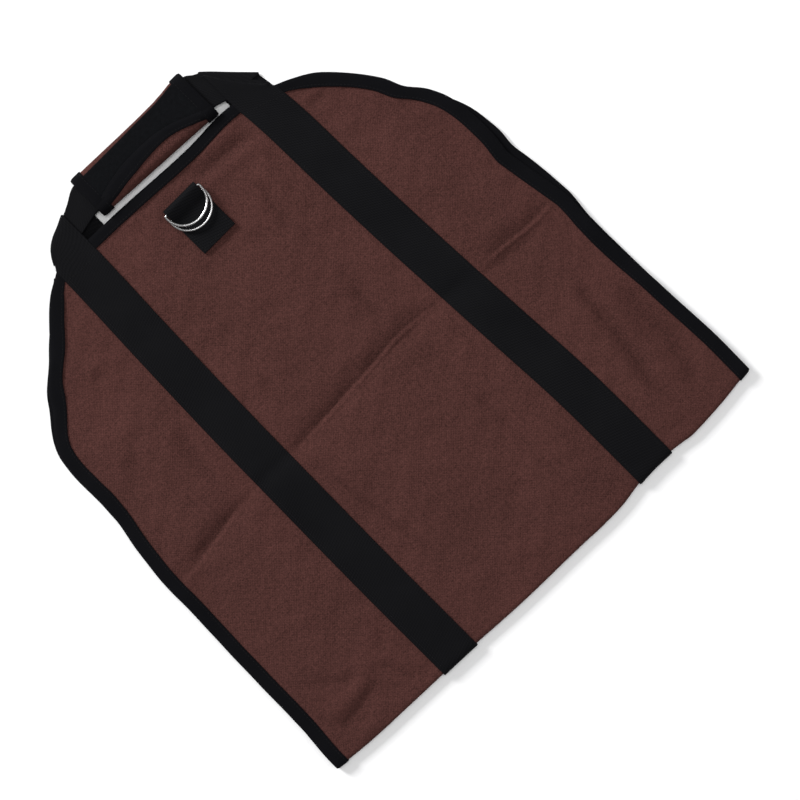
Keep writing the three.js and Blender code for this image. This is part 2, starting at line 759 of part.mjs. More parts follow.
// Materials
const canvasCloth = { color: 0x54322e, roughness: 0.92, metalness: 0 };
const blackTape = { color: 0x17181a, roughness: 0.85, metalness: 0 };
const blackWebbing = { color: 0x141517, roughness: 0.78, metalness: 0 };
const brightSteel = { color: 0xc9cbce, roughness: 0.22, metalness: 1 };

const bag = new THREE.Group();

function piece(name, geometry, finish) {
  const mesh = new THREE.Mesh(geometry, new THREE.MeshStandardMaterial(finish));
  mesh.name = name;
  bag.add(mesh);
  return mesh;
}

const lastRow = sheetRows.length - 1;
piece("canvas", canvas(), canvasCloth);
piece("binding_left", sideBinding("left"), blackTape);
piece("binding_right", sideBinding("right"), blackTape);
piece("binding_front_top", topBinding(lastRow, lastRow - 1), blackTape);
piece("binding_back_top", topBinding(0, 1), blackTape);
piece("strap_left", strap("left"), blackWebbing);
piece("strap_right", strap("right"), blackWebbing);
piece("grip_wrap", gripWrap(), canvasCloth);
piece("grip_binding_left", gripEndBinding("left"), blackTape);
piece("grip_binding_right", gripEndBinding("right"), blackTape);
piece("grip_flap_binding", flapBinding(), blackTape);
piece("grip_loop_tape", loopTape(), blackTape);
piece("ring_tab", ringTab(), blackWebbing);
for (const [name, y, z] of [
  ["ring_lower", lowBarAt, lowBarHeight],
  ["ring_upper", highBarAt, highBarHeight],
]) {
  const dRing = piece(name, ring(), brightSteel);
  dRing.position.set(tabCentre, y, z);
  dRing.rotation.x = -ringTilt;
}

// The origin is on the ground, under the middle of the bag's outline
const outline = new THREE.Box3().setFromObject(bag);
bag.position.set(
  -(outline.min.x + outline.max.x) / 2,
  -(outline.min.y + outline.max.y) / 2,
  -outline.min.z,
);

export default bag;
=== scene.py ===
import math
import bmesh
import bpy
import numpy as np
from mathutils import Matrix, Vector


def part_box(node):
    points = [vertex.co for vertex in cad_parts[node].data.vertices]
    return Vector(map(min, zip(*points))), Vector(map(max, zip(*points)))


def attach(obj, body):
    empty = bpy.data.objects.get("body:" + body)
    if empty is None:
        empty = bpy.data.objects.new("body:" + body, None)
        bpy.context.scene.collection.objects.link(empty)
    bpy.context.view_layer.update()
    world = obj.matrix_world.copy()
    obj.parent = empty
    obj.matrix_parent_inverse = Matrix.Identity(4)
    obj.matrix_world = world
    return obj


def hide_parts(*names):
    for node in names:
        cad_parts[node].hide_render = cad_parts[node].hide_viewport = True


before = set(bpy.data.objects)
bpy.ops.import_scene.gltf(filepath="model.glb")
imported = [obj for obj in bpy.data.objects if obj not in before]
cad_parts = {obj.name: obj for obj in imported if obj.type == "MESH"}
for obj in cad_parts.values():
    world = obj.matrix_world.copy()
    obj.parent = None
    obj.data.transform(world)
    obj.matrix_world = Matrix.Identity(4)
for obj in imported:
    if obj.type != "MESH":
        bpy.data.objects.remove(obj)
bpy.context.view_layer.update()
scene = bpy.context.scene
scene.view_settings.view_transform = "Standard"
print("frame loaded:", len(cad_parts), "nodes")

mm = 0.001
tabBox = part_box("ring_tab")
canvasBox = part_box("canvas")
tabOffset = 2.2  # how far left of the sheet's middle the tab is sewn, in millimetres
foldReach = 5.5 * mm  # how far the fold bulges beyond its straight line
# the middle of the sheet at its fold, in the frame: creases and seams are placed from here
sheetMiddle = Vector(
    ((tabBox[0][0] + tabBox[1][0]) / 2 + tabOffset * mm, canvasBox[0][1] + foldReach)
)


# Grids: each cloth solid of the frame is a net of four-sided cells, with an outer and an inner side

def lineFrom(vert, edge, count=None):
    # the points of a straight run through the net, up to a corner
    points = [vert]
    while edge is not None and (count is None or len(points) < count):
        vert = edge.other_vert(vert)
        points.append(vert)
        besideIt = set(edge.link_faces)
        edge = next((e for e in vert.link_edges if not besideIt & set(e.link_faces)), None)
    return points


def mergedCopy(nodeName, name):
    # a copy of a node's solid with its points merged and its triangles joined to cells
    bpy.ops.object.select_all(action="DESELECT")
    piece = bpy.data.objects.new(name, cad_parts[nodeName].data.copy())
    bpy.context.collection.objects.link(piece)
    piece.select_set(True)
    bpy.context.view_layer.objects.active = piece
    bpy.ops.object.mode_set(mode="EDIT")
    bpy.ops.mesh.select_all(action="SELECT")
    bpy.ops.mesh.remove_doubles(threshold=0.01 * mm)
    bpy.ops.mesh.tris_convert_to_quads(face_threshold=3.1, shape_threshold=3.1, topology_influence=2)
    bpy.ops.object.mode_set(mode="OBJECT")
    return piece


def gridOf(nodeName, towards):
    # points of a node as rows, columns and two sides, from the corner that lies furthest that way
    cage = mergedCopy(nodeName, "cage")
    net = bmesh.new()
    net.from_mesh(cage.data)
    corners = [v for v in net.verts if len(v.link_edges) == 3]
    if len(corners) != 8:
        raise ValueError(nodeName + " isn't a plain net of cells")
    start = max(corners, key=lambda v: v.co.dot(Vector(towards)))
    opposite = min((lineFrom(start, e) for e in start.link_edges), key=len)[-1]
    sides = []
    for corner in (start, opposite):
        through, across, along = sorted((lineFrom(corner, e) for e in corner.link_edges), key=len)
        sides.append((along, len(across)))
    used = {v for along, count in sides for v in along}
    points = []
    for along, count in sides:
        rows = []
        for vert in along:
            inward = next(e for e in vert.link_edges if e.other_vert(vert) not in used)
            rows.append([tuple(v.co) for v in lineFrom(vert, inward, count)])
        points.append(rows)
    net.free()
    cageMesh = cage.data
    bpy.data.objects.remove(cage)
    bpy.data.meshes.remove(cageMesh)
    return np.moveaxis(np.array(points), 0, 2)


def runOf(grid):
    # length along the rows, from the first one
    steps = np.linalg.norm(np.diff(grid.mean(axis=2), axis=0), axis=2).mean(axis=1)
    return np.concatenate(([0.0], np.cumsum(steps)))


def knotPlaces(run, spacing, ends=()):
    # places along a run: its own points, more between them, and some close to both ends
    places = [run[-1]]
    for i, (a, b) in enumerate(zip(run[:-1], run[1:])):
        gap = spacing[i] if hasattr(spacing, "__len__") else spacing
        count = max(1, math.ceil((b - a) / gap))
        places += [a + (b - a) * k / count for k in range(count)]
    places = [p for p in places if not ends or max(ends) < p < run[-1] - max(ends)]
    for end in ends:
        places += [end, run[-1] - end]
    return np.array(sorted(places))


def resample(grid, places):
    # smooth curves through the rows, read at other places
    run = runOf(grid)
    steps = np.diff(run)
    wide = steps[:, None, None, None]
    slopes = np.diff(grid, axis=0) / wide
    tangents = np.empty_like(grid)
    tangents[0] = slopes[0]
    tangents[-1] = slopes[-1]
    tangents[1:-1] = (grid[2:] - grid[:-2]) / (wide[1:] + wide[:-1])
    index = np.clip(np.searchsorted(run, places, side="right") - 1, 0, len(steps) - 1)
    step = steps[index][:, None, None, None]
    t = ((places - run[index]) / steps[index])[:, None, None, None]
    return (
        grid[index] * (1 + 2 * t) * (1 - t) ** 2
        + tangents[index] * step * t * (1 - t) ** 2
        + grid[index + 1] * t * t * (3 - 2 * t)
        + tangents[index + 1] * step * t * t * (t - 1)
    )


def fineGrid(nodeName, towards, alongSpacing, acrossSpacing, edge=0.0, endEdge=0.0):
    # the node's own shape, finer and smooth, with rounded edges; also its lengths along and across
    grid = gridOf(nodeName, towards)
    rounding = (0.0, 0.15, 0.5, 1.0)
    ends = [r * edge for r in rounding] if edge else ()
    alongEnds = [r * endEdge for r in rounding] if endEdge else ()
    grid = resample(grid, knotPlaces(runOf(grid), alongSpacing, alongEnds))
    turned = np.swapaxes(grid, 0, 1)
    turned = resample(turned, knotPlaces(runOf(turned), acrossSpacing, ends))
    grid = np.swapaxes(turned, 0, 1)
    along = runOf(grid)
    across = runOf(np.swapaxes(grid, 0, 1))
    thick = np.ones(grid.shape[:2])
    if edge:
        thick = thick * roundOff(across, edge)[None, :]
    if endEdge:
        thick = thick * roundOff(along, endEdge)[:, None]
    middle = grid.mean(axis=2, keepdims=True)
    grid = middle + (grid - middle) * thick[:, :, None, None]
    # nothing sinks into the ground that the bag lies on
    grid[..., 2] = np.maximum(grid[..., 2], 0.02 * mm)
    return grid, along, across


def roundOff(run, radius):
    # share of the full thickness near both ends of a run
    inside = np.clip(np.minimum(run, run[-1] - run) / radius, 0, 1)
    return np.maximum(np.sqrt(1 - (1 - inside) ** 2), 0.3)


def clothObject(name, grid, along, across, finish, coordinates=None):
    # one closed body from a grid, with its lengths along and across as the cloth map
    rows, columns = grid.shape[:2]
    count = rows * columns
    points = np.concatenate([grid[:, :, 0].reshape(-1, 3), grid[:, :, 1].reshape(-1, 3)])
    index = np.arange(count).reshape(rows, columns)
    a, b = index[:-1, :-1].ravel(), index[:-1, 1:].ravel()
    c, d = index[1:, 1:].ravel(), index[1:, :-1].ravel()
    outer = np.stack([a, b, c, d], axis=1)
    inner = np.stack([a, d, c, b], axis=1) + count
    rim = np.concatenate([index[0, :-1], index[:-1, -1], index[-1, :0:-1], index[:0:-1, 0]])
    after = np.roll(rim, -1)
    walls = np.stack([rim, rim + count, after + count, after], axis=1)
    faces = np.concatenate([outer, inner, walls])
    corner = points[faces]
    volume = np.einsum("ij,ij->i", corner[:, 0], np.cross(corner[:, 1], corner[:, 2])).sum()
    volume += np.einsum("ij,ij->i", corner[:, 0], np.cross(corner[:, 2], corner[:, 3])).sum()
    if volume < 0:
        faces = faces[:, ::-1]
    mesh = bpy.data.meshes.new(name)
    mesh.from_pydata(points.tolist(), [], faces.tolist())
    if coordinates is None:
        coordinates = np.stack(np.meshgrid(across - across[-1] / 2, along), axis=2)
    flat = np.concatenate([coordinates.reshape(-1, 2)] * 2)
    clothMap = mesh.uv_layers.new(name="cloth")
    clothMap.data.foreach_set("uv", flat[faces.ravel()].ravel())
    mesh.materials.append(finish)
    piece = bpy.data.objects.new(name, mesh)
    bpy.context.collection.objects.link(piece)
    smoothShade(piece, 50)
    return piece


def smoothShade(piece, degrees):
    bpy.ops.object.select_all(action="DESELECT")
    piece.select_set(True)
    bpy.context.view_layer.objects.active = piece
    bpy.ops.object.shade_smooth_by_angle(angle=math.radians(degrees))


def smoothStep(value, low, high):
    t = np.clip((value - low) / (high - low), 0, 1)
    return t * t * (3 - 2 * t)


# Finishes: a wired value takes part in sums, so mask * 0.3 + 0.7 adds its own Math nodes

class Wired:
    def __init__(self, finish, socket):
        self.finish = finish
        self.socket = socket

    def sum(self, operation, left, right):
        return self.finish.add("ShaderNodeMath", {"operation": operation}, {0: left, 1: right})

    def __add__(self, other):
        return self.sum("ADD", self, other)

    def __radd__(self, other):
        return self.sum("ADD", other, self)

    def __sub__(self, other):
        return self.sum("SUBTRACT", self, other)

    def __rsub__(self, other):
        return self.sum("SUBTRACT", other, self)

    def __mul__(self, other):
        return self.sum("MULTIPLY", self, other)

    def __rmul__(self, other):
        return self.sum("MULTIPLY", other, self)

    def sine(self):
        return self.finish.add("ShaderNodeMath", {"operation": "SINE"}, {0: self})

    def absolute(self):
        return self.finish.add("ShaderNodeMath", {"operation": "ABSOLUTE"}, {0: self})


class Finish:
    def __init__(self, name):
        self.material = bpy.data.materials.new(name)
        self.material.use_nodes = True
        self.tree = self.material.node_tree
        self.shader = self.tree.nodes["Principled BSDF"]

    def add(self, kind, settings=None, inputs=None, out=0):
        node = self.tree.nodes.new(kind)
        for key, value in (settings or {}).items():
            setattr(node, key, value)
        for key, value in (inputs or {}).items():
            self.plug(node.inputs[key], value)
        return Wired(self, node.outputs[out])

    def plug(self, socket, value):
        if isinstance(value, Wired):
            self.tree.links.new(value.socket, socket)
        else:
            socket.default_value = value

    def surface(self, **values):
        for key, value in values.items():
            self.plug(self.shader.inputs[key.replace("_", " ")], value)
        return self.material

    def clothMap(self):
        # the place on the cloth, and its metres across and along
        place = self.add("ShaderNodeUVMap", {"uv_map": "cloth"})
        across = self.add("ShaderNodeSeparateXYZ", {}, {0: place})
        along = Wired(self, across.socket.node.outputs[1])
        return place, across, along

    def objectPlace(self):
        # the place in the object's own metres
        return self.add("ShaderNodeTexCoord", {}, {}, 3)

    def noise(self, place, scale, detail=2.0, roughness=0.5):
        inputs = {"Vector": place, "Scale": scale, "Detail": detail, "Roughness": roughness}
        return self.add("ShaderNodeTexNoise", {}, inputs)

    def shade(self, dark, light, factor):
        node = self.tree.nodes.new("ShaderNodeMix")
        node.data_type = "RGBA"
        for socket, value in ((0, factor), (6, dark), (7, light)):
            self.plug(node.inputs[socket], value)
        return Wired(self, node.outputs[2])

    def bump(self, height, distance, strength=1.0):
        inputs = {"Height": height, "Distance": distance, "Strength": strength}
        return self.add("ShaderNodeBump", {}, inputs)


def colour(red, green, blue):
    # a colour as seen on a screen, 0 to 255, for a shader
    def linear(value):
        share = value / 255
        return share / 12.92 if share <= 0.04045 else ((share + 0.055) / 1.055) ** 2.4
    return (linear(red), linear(green), linear(blue), 1.0)


# A noise is its scale, detail and roughness
canvasLooks = {
    "yarn": 1.05 * mm,  # from one yarn of the weave to the next
    "speckle": (700.0, 3.0, 0.6),
    "slubs": (260.0, 2.0, 0.5),
    "clouds": (14.0, 3.0, 0.5),
    "dark": colour(50, 29, 26),
    "light": colour(86, 53, 49),
    "roughness": 0.92,
    "relief": 0.35 * mm,
    "sheen": 0.08,
}


def makeCanvasFinish():
    finish = Finish("canvas_cloth")
    place, across, along = finish.clothMap()
    turns = 2 * math.pi / (2 * canvasLooks["yarn"])
    weave = (across * turns).sine() * (along * turns).sine()
    speckle = finish.noise(place, *canvasLooks["speckle"])
    slubs = finish.noise(place, *canvasLooks["slubs"])
    clouds = finish.noise(place, *canvasLooks["clouds"])
    # painted shade: the attribute read here darkens the canvas colour in the crease valleys, standing
    # in for the shade there
    crease_shade = finish.add("ShaderNodeAttribute", {"attribute_name": "crease_shade"}, {}, 2)
    tone = speckle * 2.0 + slubs * 0.8 + clouds * 0.45 + weave * 0.08 - 1.12 - crease_shade
    height = weave * 0.5 + speckle * 1.0 + slubs * 0.6
    return finish.surface(
        Base_Color=finish.shade(canvasLooks["dark"], canvasLooks["light"], tone),
        Roughness=canvasLooks["roughness"],
        Normal=finish.bump(height, canvasLooks["relief"], 0.7),
        Specular_IOR_Level=canvasLooks["sheen"],
    )


webbingLooks = {
    "rib": 1.9 * mm,
    "pick": 1.3 * mm,
    "slant": 900.0,  # how fast the picks lean across the ribs
    "speckle": (900.0, 2.0, 0.6),
    "clouds": (20.0, 2.0, 0.5),
    "dark": colour(4, 4, 6),
    "light": colour(20, 20, 22),
    "roughness": 0.8,
    "relief": 0.3 * mm,
    "sheen": 0.06,
}


def makeWebbingFinish():
    finish = Finish("webbing")
    place, across, along = finish.clothMap()
    ribs = (across * (math.pi / webbingLooks["rib"])).sine().absolute()
    picks = (along * (math.pi / webbingLooks["pick"]) + across * webbingLooks["slant"]).sine()
    speckle = finish.noise(place, *webbingLooks["speckle"])
    clouds = finish.noise(place, *webbingLooks["clouds"])
    tone = ribs * 0.3 + picks * 0.12 + speckle * 0.5 + clouds * 0.5 - 0.2
    height = ribs * 0.6 + picks * 0.25 + speckle * 0.3
    return finish.surface(
        Base_Color=finish.shade(webbingLooks["dark"], webbingLooks["light"], tone),
        Roughness=webbingLooks["roughness"],
        Normal=finish.bump(height, webbingLooks["relief"], 0.6),
        Specular_IOR_Level=webbingLooks["sheen"],
    )


bindingLooks = {
    "rib": 1.1 * mm,
    "speckle": (1100.0, 2.0, 0.6),
    "clouds": (25.0, 2.0, 0.5),
    "dark": colour(4, 4, 6),
    "light": colour(18, 18, 21),
    "roughness": 0.85,
    "relief": 0.25 * mm,
    "sheen": 0.05,
}


def makeBindingFinish():
    finish = Finish("binding_tape")
    place, across, along = finish.clothMap()
    turns = 2 * math.pi / bindingLooks["rib"]
    twill = ((across + along) * turns).sine()
    speckle = finish.noise(place, *bindingLooks["speckle"])
    clouds = finish.noise(place, *bindingLooks["clouds"])
    tone = twill * 0.1 + speckle * 0.6 + clouds * 0.5 - 0.1
    height = twill * 0.4 + speckle * 0.5
    return finish.surface(
        Base_Color=finish.shade(bindingLooks["dark"], bindingLooks["light"], tone),
        Roughness=bindingLooks["roughness"],
        Normal=finish.bump(height, bindingLooks["relief"], 0.6),
        Specular_IOR_Level=bindingLooks["sheen"],
    )


loopTapeLooks = {
    "pile": (1500.0, 4.0, 0.75),
    "clumps": (300.0, 3.0, 0.6),
    "dark": colour(2, 2, 3),
    "light": colour(24, 25, 28),
    "roughness": 0.95,
    "relief": 0.8 * mm,
    "sheen": 0.06,
}


def makeLoopTapeFinish():
    finish = Finish("loop_tape")
    place, across, along = finish.clothMap()
    pile = finish.noise(place, *loopTapeLooks["pile"])
    clumps = finish.noise(place, *loopTapeLooks["clumps"])
    tone = pile * 1.1 + clumps * 0.5 - 0.4
    return finish.surface(
        Base_Color=finish.shade(loopTapeLooks["dark"], loopTapeLooks["light"], tone),
        Roughness=loopTapeLooks["roughness"],
        Normal=finish.bump(pile * 0.7 + clumps * 0.6, loopTapeLooks["relief"], 0.9),
        Specular_IOR_Level=loopTapeLooks["sheen"],
    )


steelLooks = {
    "haze": (500.0, 3.0, 0.6),
    "dark": colour(150, 149, 147),
    "light": colour(205, 205, 206),
    "relief": 0.05 * mm,
}


def makeSteelFinish():
    finish = Finish("ring_steel")
    haze = finish.noise(finish.objectPlace(), *steelLooks["haze"])
    return finish.surface(
        Base_Color=finish.shade(steelLooks["dark"], steelLooks["light"], haze),
        Metallic=1.0,
        Roughness=haze * 0.16 + 0.12,
        Normal=finish.bump(haze, steelLooks["relief"], 0.3),
    )


threadLooks = {
    "twist": (2500.0, 2.0, 0.6),
    "dark": colour(7, 7, 8),
    "light": colour(22, 22, 24),
    "roughness": 0.7,
    "relief": 0.1 * mm,
    "sheen": 0.15,
}


def makeThreadFinish():
    finish = Finish("sewing_thread")
    twist = finish.noise(finish.objectPlace(), *threadLooks["twist"])
    return finish.surface(
        Base_Color=finish.shade(threadLooks["dark"], threadLooks["light"], twist),
        Roughness=threadLooks["roughness"],
        Normal=finish.bump(twist, threadLooks["relief"], 0.5),
        Specular_IOR_Level=threadLooks["sheen"],
    )


canvasFinish = makeCanvasFinish()
webbingFinish = makeWebbingFinish()
bindingFinish = makeBindingFinish()
loopTapeFinish = makeLoopTapeFinish()
steelFinish = makeSteelFinish()
threadFinish = makeThreadFinish()
print("finishes made")


def fromSheet(points):
    # across from the sheet's middle and away from its fold
    return points[..., 0] - sheetMiddle.x, points[..., 1] - sheetMiddle.y


# The long edges wave a little: places from the fold and how far the edge lies to the right there,
# in millimetres, how far in from the edge that fades out, and over what steps it is softened
edgeWaves = {
    "left": [
        (20, 0), (52, 2), (84, 1), (204, 0.6), (236, -1), (270, 0), (292, 2.4), (316, 2),
        (352, -1), (372, -0.6), (390, 2.8), (404, 4), (418, 1.3), (436, 4), (456, 1), (470, 0),
    ],
    "right": [
        (20, -1), (116, -1), (150, -2.5), (172, -3.2), (196, -3), (220, 0.2), (244, -1.2), (284, -5),
        (302, -1), (332, 1.2), (360, 1.6), (374, 0.8), (388, -3.5), (404, -1.3), (430, -2.4),
        (452, -1.5), (460, -4), (470, -3),
    ],
    "reach": (12.0, 75.0),
    "soften": (-4, -2, 0, 2, 4),
}


def edgeShift(points, side):
    # sideways shift of one long edge at each point
    places, shifts = zip(*edgeWaves[side])
    v = fromSheet(points)[1] / mm
    near = [np.interp(v + step, places, shifts) for step in edgeWaves["soften"]]
    return sum(near) / len(near) * mm


# Straps: webbing from the front handle over the panel, round the fold and into the back handle

strapSizes = {
    "length": 1.18,  # of one strap, before it is folded
    "width": 39.3 * mm,
    "alongSpacing": 6.0 * mm,
    "acrossSpacing": 4.0 * mm,
    "edge": 0.8 * mm,
    "frontFrom": 5.6 * mm,  # height above which the strap lies on the front panel
    "cornerReach": (28.0, 2.0),  # how far before a corner's fold its shape sets in, in millimetres
    "dent": 0.5,  # depth, half width and place of the crease from packing, in millimetres
    "dentWidth": 5.0,
    "dentAt": 233.0,
}

# How each strap lies at its corner, beyond the straight folds of the frame, in millimetres: the fold
# line, then places across and how far both layers reach towards the handles there
cornerShapes = [
    {
        "side": "left",
        "front": True,
        "fold": ((-120.8, 488.5), (-84.5, 517.1)),
        "across": (-126, -121, -117, -112.5, -105, -95, -85, -78, -72, -66, -60, -55),
        "shift": (1.5, 3.5, 7.5, 9.2, 8.4, 4.5, 1.5, 1.2, 1, 0.8, 0.4, 0),
    },
    {
        "side": "right",
        "front": True,
        "fold": ((87.8, 517.7), (121.1, 477.0)),
        "across": (84, 88, 93, 102, 118, 122, 127),
        "shift": (0, 0, -3.3, -5.7, -5.5, -4, -1),
    },
    {
        "side": "right",
        "front": False,
        "fold": ((86.3, 522.9), (123.6, 482.7)),
        "across": (80, 88, 95, 110, 124, 128),
        "shift": (0, 0.5, 1.5, 2, 3, 3),
    },
]


def layStrap(side, grid):
    # the corner folds and the dents of the packing creases
    grid = grid.copy()
    u, v = (values / mm for values in fromSheet(grid))
    inFront = grid[..., 2] > strapSizes["frontFrom"]
    far, near = strapSizes["cornerReach"]
    for shape in cornerShapes:
        if shape["side"] != side:
            continue
        (lowU, lowV), (highU, highV) = shape["fold"]
        fold = np.interp(u, (lowU, highU), (lowV, highV))
        reach = smoothStep(v, fold - far, fold - near) * (inFront == shape["front"])
        grid[..., 1] += np.interp(u, shape["across"], shape["shift"]) * reach * mm
    dent = np.exp(-(((v - strapSizes["dentAt"]) / strapSizes["dentWidth"]) ** 2))
    grid[..., 2] -= dent * strapSizes["dent"] * inFront * mm
    return grid


def makeStrap(side, towards):
    # one strap; its grid and its lengths across are used again by the canvas and the seams
    grid, along, across = fineGrid(
        "strap_" + side,
        towards,
        strapSizes["alongSpacing"],
        strapSizes["acrossSpacing"],
        strapSizes["edge"],
    )
    grid = layStrap(side, grid)
    piece = clothObject("webbing_" + side, grid, along, across, webbingFinish)
    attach(piece, "bag")
    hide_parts("strap_" + side)
    return grid, across


leftStrapGrid, strapAcross = makeStrap("left", (1, -1, 30))
rightStrapGrid, strapAcross = makeStrap("right", (-1, -1, 30))
print("straps made")


def frontEdges(grid):
    # both edges of a strap on the front panel, as curves of the distance from the fold
    middle = grid.mean(axis=2)
    u, v = fromSheet(middle)
    belowGrip = v.mean(axis=1) < 470 * mm
    onFront = belowGrip & (middle[:, :, 2].mean(axis=1) > 5.5 * mm)
    rows = np.argsort(v[onFront].mean(axis=1))
    places = v[onFront].mean(axis=1)[rows]
    return places, u[onFront].min(axis=1)[rows], u[onFront].max(axis=1)[rows]


# Canvas: the folded sheet, with the creases of its packing and the soft wrinkles of handling

canvasSizes = {
    "flat": (0.502, 0.974),
    "area": 0.44,  # the sheet is cut off at its four corners
    "frontSpacing": 2.5 * mm,
    "creaseSpacing": 1.2 * mm,
    "backSpacing": 10.0 * mm,
    "acrossSpacing": 2.9 * mm,
    "frontFrom": 5.0 * mm,  # height above which the sheet is the front panel
    "creaseAt": 232 * mm,  # where the finer rows lie, and how far to both sides
    "creaseZone": 12 * mm,
    "waves": 0.3 * mm,  # height of the unevenness all over
    "waveLength": 70.0,
    "bound": 9.5,  # what the binding covers, in millimetres
    "topBound": 8.0,
    "fade": 5.0,  # over what length the creases fade out beside bindings and tab
    "tabCover": (19.5, 26.5),  # half the width and length of the place under the tab
    "foldFade": (3.0, 9.0),
    "creaseDepth": 1.9,
    "crease_shade": 0.09,  # painted shade: how much darker the cloth's colour is made in a crease, for each millimetre of depth
}

# Each crease is a line of points across and away from the fold, in millimetres, then how deep it
# sinks, its widths left and right of the line, and how far its shoulders are raised
creases = [
    # across the bag, where it was packed to half its length
    (((-252, 217), (-238, 219), (-190, 225), (-146, 232)), 0.9, 8, 1.6, 0.3),
    (((-92, 231), (-80, 231), (-30, 234), (20, 237), (50, 239), (100, 234)), 0.85, 8, 1.5, 0.35),
    (((140, 230), (165, 230), (190, 227), (215, 226), (232, 229)), 0.9, 7, 1.6, 0.35),
    # along the bag
    (((60, -2), (60, 60), (59, 120), (59, 180), (56, 236)), 0.5, 2.4, 5, 0.2),
    (((54, 242), (52, 300), (52, 360), (55, 420)), 0.3, 3.5, 7, 0.1),
    (((90, 228), (90, 200), (89, 170)), 0.5, 2, 3, 0.15),
    (((88, 98), (91, 70), (90, 45)), 0.5, 2, 3, 0.15),
    (((29, 98), (31, 80), (35, 55)), 0.3, 2, 3, 0.1),
    # the bent wrinkle beside the left strap
    (((-88, 231), (-82, 214), (-78, 180), (-71, 140), (-67, 110), (-59, 50)), 0.8, 3.2, 5, 0.3),
    # the deep wrinkle and the soft band at the right edge
    (((196, 185), (189, 145), (186, 110), (181, 75), (176, 50), (181, 28), (171, 2)), 1.5, 6, 6, 0.6),
    (((222, 150), (216, 110), (214, 65), (204, 30), (190, 5)), 0.9, 9, 7, 0.3),
    # the lower left corner
    (((-238, 31), (-215, 31), (-195, 35), (-165, 40)), 1.5, 6, 10, 0.5),
    (((-238, 84), (-215, 72), (-195, 57), (-176, 50)), 0.7, 4, 7, 0.2),
    (((-172, 53), (-160, 38), (-148, 10)), 0.7, 3, 5, 0.25),
    (((-236, 56), (-232, 30)), 0.6, 4, 4, 0.2),
    (((-160, 52), (-140, 70)), 0.5, 4, 5, 0.2),
    # the upper left part
    (((-138, 322), (-149, 303), (-153, 275), (-154, 240)), 0.9, 6, 7, 0.3),
    (((-232, 292), (-200, 315), (-180, 345)), 0.7, 12, 9, 0.2),
    (((-170, 400), (-162, 396), (-156, 398)), 0.8, 5, 5, 0.2),
    # round the tab and up to the top edge
    (((14, 462), (30, 457), (60, 455), (92, 449)), 1.3, 7, 5, 0.5),
    (((48, 434), (55, 414), (50, 390), (42, 355)), 0.8, 6, 5, 0.25),
    (((-72, 450), (-75, 418)), 0.5, 4, 4, 0.2),
    (((-22, 402), (-32, 384)), 0.6, 5, 5, 0.2),
    (((82, 442), (78, 400)), 0.7, 6, 6, 0.2),
    (((-76, 335), (-60, 345), (-42, 356)), 0.6, 10, 8, 0.2),
    (((-62, 302), (-64, 260)), 0.6, 5, 6, 0.2),
    (((132, 434), (158, 431)), 0.7, 4, 5, 0.3),
    (((49, 300), (48, 245)), 0.8, 4, 8, 0.2),
]


# Along a crease's line: steps in millimetres, how many widths it reaches, over what share of its
# length both ends fade out, and where its shoulder lies and how wide it is, in widths
creaseForm = {"spacing": 8.0, "reach": 3.5, "fade": 0.3, "shoulderAt": 2.1, "shoulderWidth": 1.1}


def smoothLine(points, spacing):
    # a chosen line of points as a smooth one
    line = np.array(points, dtype=float)
    grid = np.zeros((len(line), 1, 1, 3))
    grid[:, 0, 0, :2] = line
    return resample(grid, knotPlaces(runOf(grid), spacing))[:, 0, 0, :2]


def creaseLift(u, v, points, deep, left, right, raised):
    # height that one crease adds at each place
    line = smoothLine(points, creaseForm["spacing"])
    reach = creaseForm["reach"] * max(left, right)
    lift = np.zeros(u.shape)
    near = (u > line[:, 0].min() - reach) & (u < line[:, 0].max() + reach)
    near &= (v > line[:, 1].min() - reach) & (v < line[:, 1].max() + reach)
    place = np.stack([u[near], v[near]], axis=1)
    nearest = np.full(len(place), 1e9)
    signed = np.zeros(len(place))
    share = np.zeros(len(place))
    for i, (a, b) in enumerate(zip(line[:-1], line[1:])):
        way = b - a
        t = np.clip(((place - a) @ way) / (way @ way), 0, 1)
        off = place - a - t[:, None] * way
        distance = np.hypot(off[:, 0], off[:, 1])
        closer = distance < nearest
        nearest = np.where(closer, distance, nearest)
        side = np.where(way[0] * off[:, 1] - way[1] * off[:, 0] > 0, 1.0, -1.0)
        signed = np.where(closer, distance * side, signed)
        share = np.where(closer, (i + t) / (len(line) - 1), share)
    width = np.where(signed > 0, left, right)
    fade = creaseForm["fade"]
    ends = smoothStep(share, 0.0, fade) * smoothStep(1 - share, 0.0, fade)
    valley = 0.5 * np.exp(-((nearest / width) ** 2)) + 0.5 * np.exp(-1.5 * nearest / width)
    away = nearest - creaseForm["shoulderAt"] * width
    shoulder = np.exp(-((away / (creaseForm["shoulderWidth"] * width)) ** 2))
    lift[near] = ends * (raised * shoulder - deep * valley)
    return lift


def unevenness(u, v, seed, longest, count=16):
    # smooth random waves between one and four to the longest length, about 1 high
    draw = np.random.default_rng(seed)
    total = np.zeros(u.shape)
    for _ in range(count):
        turn = draw.uniform(0, math.pi)
        wave = 2 * math.pi / (longest * draw.uniform(0.25, 1.0))
        shift = draw.uniform(0, 2 * math.pi)
        total += np.sin((u * math.cos(turn) + v * math.sin(turn)) * wave + shift)
    return total / math.sqrt(count / 2)


